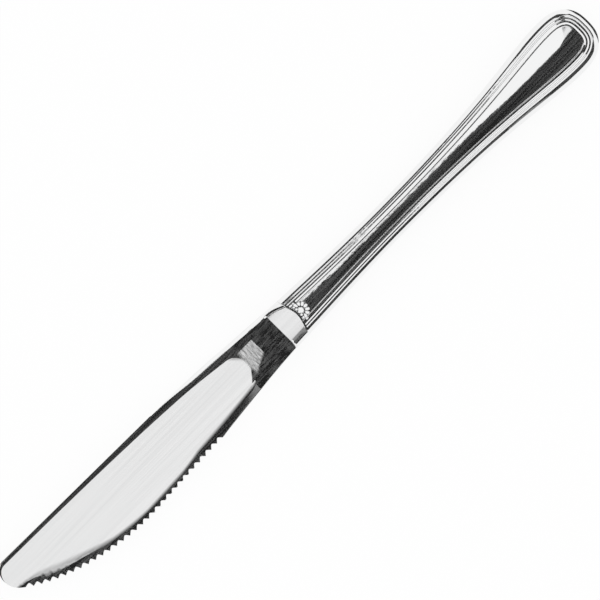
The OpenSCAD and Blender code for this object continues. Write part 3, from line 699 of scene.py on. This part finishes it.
def new_material(name):
    """Material with its node tree and its surface shader."""
    material = bpy.data.materials.new(name)
    material.use_nodes = True
    tree = material.node_tree
    return material, tree, tree.nodes["Principled BSDF"]


def empty_material(name):
    """Material with an empty node tree."""
    material = bpy.data.materials.new(name)
    material.use_nodes = True
    material.node_tree.nodes.clear()
    return material, material.node_tree


def set_material(obj, material):
    """Gives an object one material in place of those it has."""
    obj.data.materials.clear()
    obj.data.materials.append(material)


def noise(tree, scale, detail, stretch):
    """Noise over the piece's own coordinates, in cycles per metre, stretched along each axis."""
    place = tree.nodes.new("ShaderNodeTexCoord")
    mapping = tree.nodes.new("ShaderNodeMapping")
    mapping.inputs["Scale"].default_value = stretch
    texture = tree.nodes.new("ShaderNodeTexNoise")
    texture.inputs["Scale"].default_value = scale
    texture.inputs["Detail"].default_value = detail
    tree.links.new(place.outputs["Object"], mapping.inputs["Vector"])
    tree.links.new(mapping.outputs["Vector"], texture.inputs["Vector"])
    return texture.outputs["Fac"]


def to_range(tree, grain, low, high):
    """Grain brought to a range of values."""
    node = tree.nodes.new("ShaderNodeMapRange")
    node.inputs["From Min"].default_value = GRAIN_LOW
    node.inputs["From Max"].default_value = GRAIN_HIGH
    node.inputs["To Min"].default_value = low
    node.inputs["To Max"].default_value = high
    tree.links.new(grain, node.inputs["Value"])
    return node.outputs["Result"]


def to_colour(tree, grain, colours):
    """Grain brought to a range of colours."""
    node = tree.nodes.new("ShaderNodeValToRGB")
    for element, position, colour in zip(node.color_ramp.elements, (GRAIN_LOW, GRAIN_HIGH), colours):
        element.position = position
        element.color = (*colour, 1)
    tree.links.new(grain, node.inputs["Fac"])
    return node.outputs["Color"]


def bumped(tree, height, depth):
    """Surface direction over a grain of the given depth in metres."""
    node = tree.nodes.new("ShaderNodeBump")
    node.inputs["Strength"].default_value = 1.0
    node.inputs["Distance"].default_value = depth
    tree.links.new(height, node.inputs["Height"])
    return node.outputs["Normal"]


def ramp(tree, value, start, end):
    """0 at the start and 1 at the end, smooth in between."""
    node = tree.nodes.new("ShaderNodeMapRange")
    node.interpolation_type = "SMOOTHSTEP"
    node.inputs["From Min"].default_value = start
    node.inputs["From Max"].default_value = end
    tree.links.new(value, node.inputs["Value"])
    return node.outputs["Result"]


def reckon(tree, operation, first, second):
    """Sum, product or the like of a value and a second value or number."""
    node = tree.nodes.new("ShaderNodeMath")
    node.operation = operation
    tree.links.new(first, node.inputs[0])
    if isinstance(second, float):
        node.inputs[1].default_value = second
    else:
        tree.links.new(second, node.inputs[1])
    return node.outputs["Value"]


def mixed(tree, share, first, second):
    """Value between two others."""
    node = tree.nodes.new("ShaderNodeMix")
    tree.links.new(share, node.inputs["Factor"])
    tree.links.new(first, node.inputs["A"])
    tree.links.new(second, node.inputs["B"])
    return node.outputs["Result"]


def polished_steel():
    """Mirror polish, slightly wavy, with faint lengthwise lines from the buffing wheel."""
    material, tree, shader = new_material("polished_steel")
    lines = noise(tree, *POLISHED_LINES)
    waves = noise(tree, *POLISHED_WAVES)
    tree.links.new(to_colour(tree, lines, POLISHED_COLOURS), shader.inputs["Base Color"])
    tree.links.new(to_range(tree, lines, *POLISHED_ROUGHNESS), shader.inputs["Roughness"])
    tree.links.new(to_range(tree, lines, *POLISHED_SHINE), shader.inputs["Metallic"])
    fine = reckon(tree, "MULTIPLY", lines, LINE_SHARE)
    height = reckon(tree, "ADD", waves, fine)
    tree.links.new(bumped(tree, height, POLISHED_DEPTH), shader.inputs["Normal"])
    return material


def run_out_patch(tree, x, y):
    """1 inside the roughly ground patch where the ground face runs out at the neck."""
    slant = reckon(tree, "MULTIPLY", x, PATCH_SLANT)
    below = reckon(tree, "SUBTRACT", y, slant)
    sides = (
        ramp(tree, x, *PATCH_BLADE_END),
        ramp(tree, x, *PATCH_COLLAR_END),
        ramp(tree, y, *PATCH_UPPER),
        ramp(tree, below, *PATCH_LOWER),
    )
    inside = sides[0]
    for side in sides[1:]:
        inside = reckon(tree, "MULTIPLY", inside, side)
    return inside


def brushed_steel():
    """Blade steel: lengthwise polishing lines, and a rougher patch ground crosswise at the neck."""
    material, tree, shader = new_material("brushed_steel")
    place = tree.nodes.new("ShaderNodeSeparateXYZ")
    tree.links.new(tree.nodes.new("ShaderNodeTexCoord").outputs["Object"], place.inputs["Vector"])
    patch = run_out_patch(tree, place.outputs["X"], place.outputs["Y"])
    lines = noise(tree, *BRUSHED_LINES)
    marks = noise(tree, *PATCH_MARKS)
    grain = mixed(tree, patch, lines, marks)
    tree.links.new(to_colour(tree, grain, BRUSHED_COLOURS), shader.inputs["Base Color"])
    polish = to_range(tree, lines, *BRUSHED_ROUGHNESS)
    rough = to_range(tree, marks, *PATCH_ROUGHNESS)
    tree.links.new(mixed(tree, patch, polish, rough), shader.inputs["Roughness"])
    shine = to_range(tree, lines, *BRUSHED_SHINE)
    dull = to_range(tree, marks, *PATCH_SHINE)
    tree.links.new(mixed(tree, patch, shine, dull), shader.inputs["Metallic"])
    tree.links.new(bumped(tree, grain, BRUSHED_DEPTH), shader.inputs["Normal"])
    return material


def braze_metal():
    """Dull brazing metal with a fine grain."""
    material, tree, shader = new_material("braze_metal")
    shader.inputs["Metallic"].default_value = 1.0
    grain = noise(tree, *BRAZE_GRAIN)
    tree.links.new(to_colour(tree, grain, BRAZE_COLOURS), shader.inputs["Base Color"])
    tree.links.new(to_range(tree, grain, *BRAZE_ROUGHNESS), shader.inputs["Roughness"])
    tree.links.new(bumped(tree, grain, BRAZE_DEPTH), shader.inputs["Normal"])
    return material


def cement():
    """Matt grey cement with a fine grain."""
    material, tree, shader = new_material("cement")
    grain = noise(tree, *CEMENT_GRAIN)
    tree.links.new(to_colour(tree, grain, CEMENT_COLOURS), shader.inputs["Base Color"])
    tree.links.new(to_range(tree, grain, *CEMENT_ROUGHNESS), shader.inputs["Roughness"])
    tree.links.new(bumped(tree, grain, CEMENT_DEPTH), shader.inputs["Normal"])
    return material


# Studio: sizes in metres, levels of the cards, and slopes of the mirrors that show them

FLOOR_SIZE = 6.0
FLOOR_WHITE = 0.95
SHADOWLESS_SHARE = 0.9
WHITE = (1, 1, 1, 1)
DARK, GREY, PALE, SOFT = 0.02, 0.25, 0.6, 0.88
DOME_RADIUS, INNER_RADIUS = 4.0, 3.9
CARD_STEPS = 24
SHADES, SHADE_FROM, SHADE_TO, SHADE_POWER = 12, 0.045, 0.165, 1.3
OVER_HANDLE, OVER_BLADE = (0.018, 0.22), (-0.095, 0.018)
CARDS = (
    ("panel_flag", OVER_HANDLE, (-0.08, 0.012), DARK, DOME_RADIUS),
    ("panel_end_flag", OVER_HANDLE, (-0.2, -0.08), DARK, DOME_RADIUS),
    ("reed_flag", (0.018, 0.026), (-0.27, -0.2), DARK, DOME_RADIUS),
    ("far_flag", (0.018, 0.5), (-0.82, -0.4), DARK, DOME_RADIUS),
    ("far_side_flag", (-0.12, 0.018), (-0.78, -0.5), DARK, DOME_RADIUS),
    ("far_corner_flag", (0.2, 0.6), (-0.4, -0.3), DARK, DOME_RADIUS),
    ("near_flag", (0.018, 0.065), (0.25, 0.98), DARK, DOME_RADIUS),
    ("corner_flag", (0.065, 0.5), (0.25, 0.95), DARK, DOME_RADIUS),
    ("end_flag", (0.45, 0.7), (-0.4, 0.3), DARK, DOME_RADIUS),
    ("spine_flag", OVER_BLADE, (-0.3, 0.012), DARK, DOME_RADIUS),
    ("overhead_card", OVER_BLADE, (0.012, SHADE_FROM), SOFT, DOME_RADIUS),
    ("edge_flag", OVER_BLADE, (SHADE_TO, 0.98), DARK, DOME_RADIUS),
    ("collar_card", (-0.0075, 0.005), (0.08, 0.98), GREY, INNER_RADIUS),
    ("neck_shade", (-0.105, -0.095), (0.012, 0.12), PALE, DOME_RADIUS),
    ("neck_half_shade", (-0.115, -0.105), (0.012, 0.12), GREY, DOME_RADIUS),
    ("neck_near_flag", (-0.115, -0.095), (-0.3, 0.012), DARK, DOME_RADIUS),
    ("neck_far_flag", (-0.115, -0.095), (0.12, 0.98), DARK, DOME_RADIUS),
    ("neck_flag", (-0.41, -0.115), (-0.4, 0.98), DARK, DOME_RADIUS),
    ("tip_flag", (-0.98, -0.41), (-0.75, 0.75), DARK, DOME_RADIUS),
)

# Painted shade: dark plates low beside the knife, seen only in the steel, that stand in for shade on the
# floor next to it; by their places along and across it in metres
PLATE_HEIGHT = 0.0001
PAINTED_SHADE_PLATES = (
    ("butt_painted_shade", (0.1035, 0.116), (-0.008, 0.008)),
    ("tip_painted_shade", (-0.116, -0.1035), (-0.012, 0.012)),
    ("spine_painted_shade", (-0.102, -0.047), (0.0097, 0.02)),
)


def corners(along, across, height):
    """Corners of a level four-sided sheet."""
    left, right = along
    near, far = across
    return [(left, near, height), (right, near, height), (right, far, height), (left, far, height)]


def floor_material():
    """Pale floor that keeps the shadow and shows white to the camera and in the steel."""
    material, tree = empty_material("floor")
    out = tree.nodes.new("ShaderNodeOutputMaterial")
    blend = tree.nodes.new("ShaderNodeMixShader")
    matt = tree.nodes.new("ShaderNodeBsdfDiffuse")
    matt.inputs["Color"].default_value = (FLOOR_WHITE, FLOOR_WHITE, FLOOR_WHITE, 1)
    white = tree.nodes.new("ShaderNodeEmission")
    white.inputs["Color"].default_value = WHITE
    rays = tree.nodes.new("ShaderNodeLightPath")
    seen = rays.outputs["Is Camera Ray"]
    for kind in ("Is Glossy Ray", "Is Transmission Ray"):
        seen = reckon(tree, "MAXIMUM", seen, rays.outputs[kind])
    share = reckon(tree, "MULTIPLY", seen, SHADOWLESS_SHARE)
    tree.links.new(share, blend.inputs["Fac"])
    tree.links.new(matt.outputs["BSDF"], blend.inputs[1])
    tree.links.new(white.outputs["Emission"], blend.inputs[2])
    tree.links.new(blend.outputs["Shader"], out.inputs["Surface"])
    return material


def add_floor():
    """Square floor under the knife."""
    side = (-FLOOR_SIZE / 2, FLOOR_SIZE / 2)
    floor = new_object("floor", corners(side, side, 0), SHEET_FACE)
    set_material(floor, floor_material())


def add_world():
    """Even white light from all sides."""
    world = bpy.data.worlds.new("studio")
    bpy.context.scene.world = world
    world.use_nodes = True
    background = world.node_tree.nodes["Background"]
    background.inputs["Color"].default_value = WHITE
    background.inputs["Strength"].default_value = 1.0


def add_reflected(name, points, faces, level):
    """Glowing or dark sheet that is seen only in the steel."""
    sheet = new_object(name, points, faces)
    material, tree = empty_material(name)
    glow = tree.nodes.new("ShaderNodeEmission")
    glow.inputs["Color"].default_value = (level, level, level, 1)
    out = tree.nodes.new("ShaderNodeOutputMaterial")
    tree.links.new(glow.outputs["Emission"], out.inputs["Surface"])
    set_material(sheet, material)
    sheet.visible_camera = False
    sheet.visible_diffuse = False
    sheet.visible_transmission = False
    sheet.visible_shadow = False


def add_card(name, along, across, level, radius):
    """Card bent round the studio's dome.

    along and across are the slopes of a level mirror, tipped to the handle end and to the cutting edge,
    that would show the card's edges to a viewer overhead."""
    p, q = np.meshgrid(np.linspace(*along, CARD_STEPS), np.linspace(*across, CARD_STEPS), indexing="ij")
    size = 1 + p * p + q * q
    points = radius * np.stack([2 * p / size, -2 * q / size, (2 - size) / size], 2).reshape(-1, 3)
    index = np.arange(CARD_STEPS * CARD_STEPS).reshape(CARD_STEPS, CARD_STEPS)
    add_reflected(name, points.tolist(), grid_faces(index), level)


def add_cards():
    """Cards that make the dark and pale areas in the steel, and plates of painted shade that show dark in its
    steep sides.
    """
    for card in CARDS:
        add_card(*card)
    step = (SHADE_TO - SHADE_FROM) / SHADES
    for k in range(SHADES):
        across = (SHADE_FROM + k * step, SHADE_FROM + (k + 1) * step)
        level = SOFT * (1 - (k + 0.5) / SHADES) ** SHADE_POWER
        add_card(f"edge_shade_{k}", OVER_BLADE, across, level, DOME_RADIUS)
    # Plates of painted shade: dark sheets on the floor, seen only in the steel, standing in for shade beside
    # the knife
    for name, along, across in PAINTED_SHADE_PLATES:
        add_reflected(name, corners(along, across, PLATE_HEIGHT), SHEET_FACE, DARK)


# Camera: turn in degrees, width of the field in metres, lens and sensor in millimetres

PHOTO_ANGLE = 45.3
PHOTO_FIELD = 152.8 * MM
LENS, SENSOR = 200.0, 36.0
CAMERA_X, CAMERA_Y = 0.95 * MM, 2.4 * MM


def add_camera():
    """Camera straight above the knife, turned as in the photo."""
    data = bpy.data.cameras.new("camera")
    data.lens = LENS
    data.sensor_width = SENSOR
    camera = bpy.data.objects.new("camera", data)
    bpy.context.scene.collection.objects.link(camera)
    height = PHOTO_FIELD * LENS / SENSOR + TO_ORIGIN[2] * MM
    camera.location = (CAMERA_X, CAMERA_Y, height)
    camera.rotation_euler = (0, 0, -math.radians(PHOTO_ANGLE))
    bpy.context.scene.camera = camera


def main():
    """Adds the steel pieces, their materials, the studio and the camera."""
    front = handle_shell("front_handle_shell_steel", 1)
    back = handle_shell("back_handle_shell_steel", -1)
    blade = blade_mesh()
    polished, brushed = polished_steel(), brushed_steel()
    for piece, node, slot, material in (
        (front, "front_handle_shell", "handle_steel", polished),
        (back, "back_handle_shell", "handle_steel", polished),
        (blade, "blade", "blade_steel", brushed),
    ):
        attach(piece, "root")
        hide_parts(node)
        set_material(piece, material)
    set_material(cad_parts["handle_seam_braze"], braze_metal())
    set_material(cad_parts["handle_cement"], cement())
    add_floor()
    add_world()
    add_cards()
    add_camera()
    bpy.context.scene.view_settings.view_transform = "Standard"


main()
